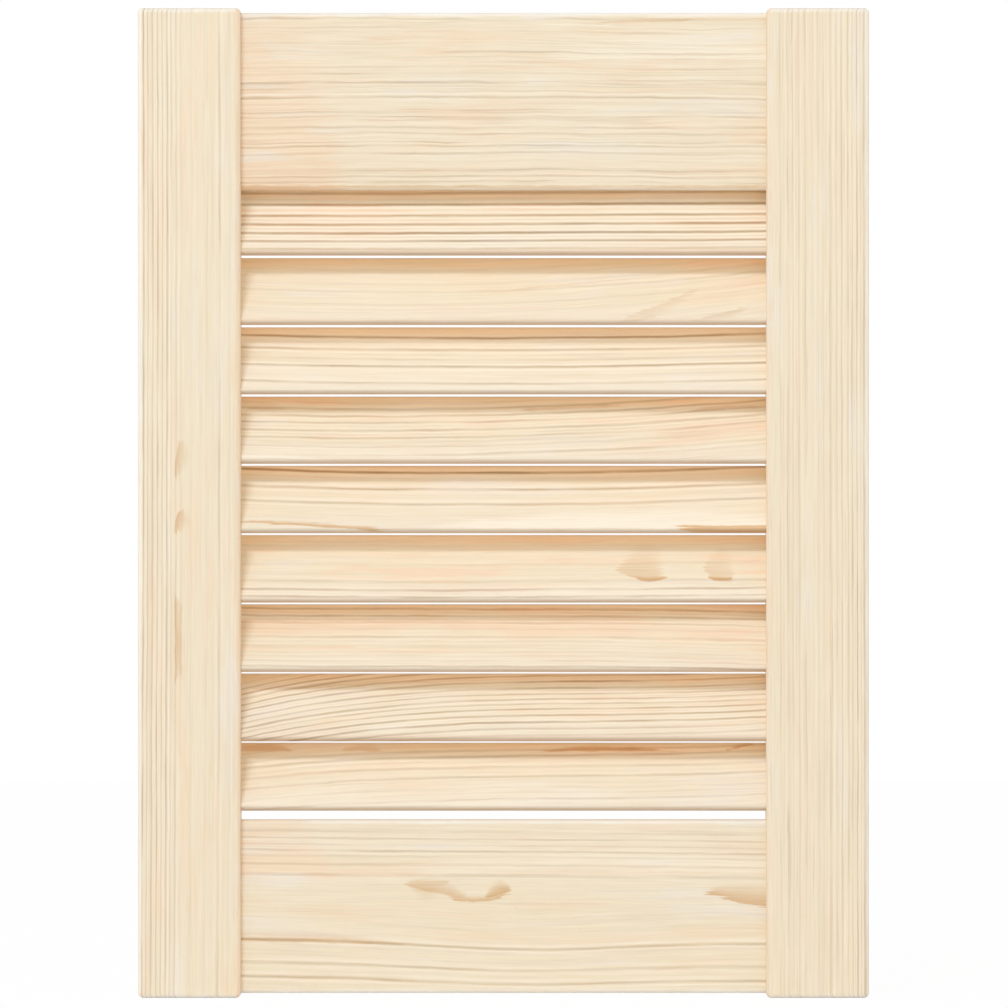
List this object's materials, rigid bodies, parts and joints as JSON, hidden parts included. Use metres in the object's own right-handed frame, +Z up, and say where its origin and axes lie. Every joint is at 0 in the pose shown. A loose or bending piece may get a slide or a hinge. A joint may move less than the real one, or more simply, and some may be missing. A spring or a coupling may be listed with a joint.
{
  "type": "louvred cabinet door",
  "caption": "Fixed-louvre cabinet door in unfinished pine: two stiles and two rails joined with dowels, with round-edged slanting slats housed in the stiles for ventilation.",
  "frame": {"origin": "bottom of the door, midway across its width and its thickness", "axes": "+Z up, +X to the right seen from the front, and the front faces -Y"},
  "size_m": [0.294, 0.021, 0.398],
  "materials": {
    "stile_pine": "planed and sanded pine with fine upright grain, no varnish",
    "rail_pine": "planed and sanded pine with grain along the rail, no varnish",
    "slat_pine": "planed and sanded pine with grain along the slat, no varnish",
    "dowel_beech": "turned and fluted beech, hidden in the joints"
  },
  "bodies": {
    "root": {"left_stile": "stile_pine", "right_stile": "stile_pine", "top_rail": "rail_pine", "bottom_rail": "rail_pine", "slat_1": "slat_pine", "slat_2": "slat_pine", "slat_3": "slat_pine", "slat_4": "slat_pine", "slat_5": "slat_pine", "slat_6": "slat_pine", "slat_7": "slat_pine", "slat_8": "slat_pine", "slat_9": "slat_pine", "dowel_top_left_upper": "dowel_beech", "dowel_top_left_lower": "dowel_beech", "dowel_top_right_upper": "dowel_beech", "dowel_top_right_lower": "dowel_beech", "dowel_bottom_left_upper": "dowel_beech", "dowel_bottom_left_lower": "dowel_beech", "dowel_bottom_right_upper": "dowel_beech", "dowel_bottom_right_lower": "dowel_beech"}
  },
  "joints": []
}
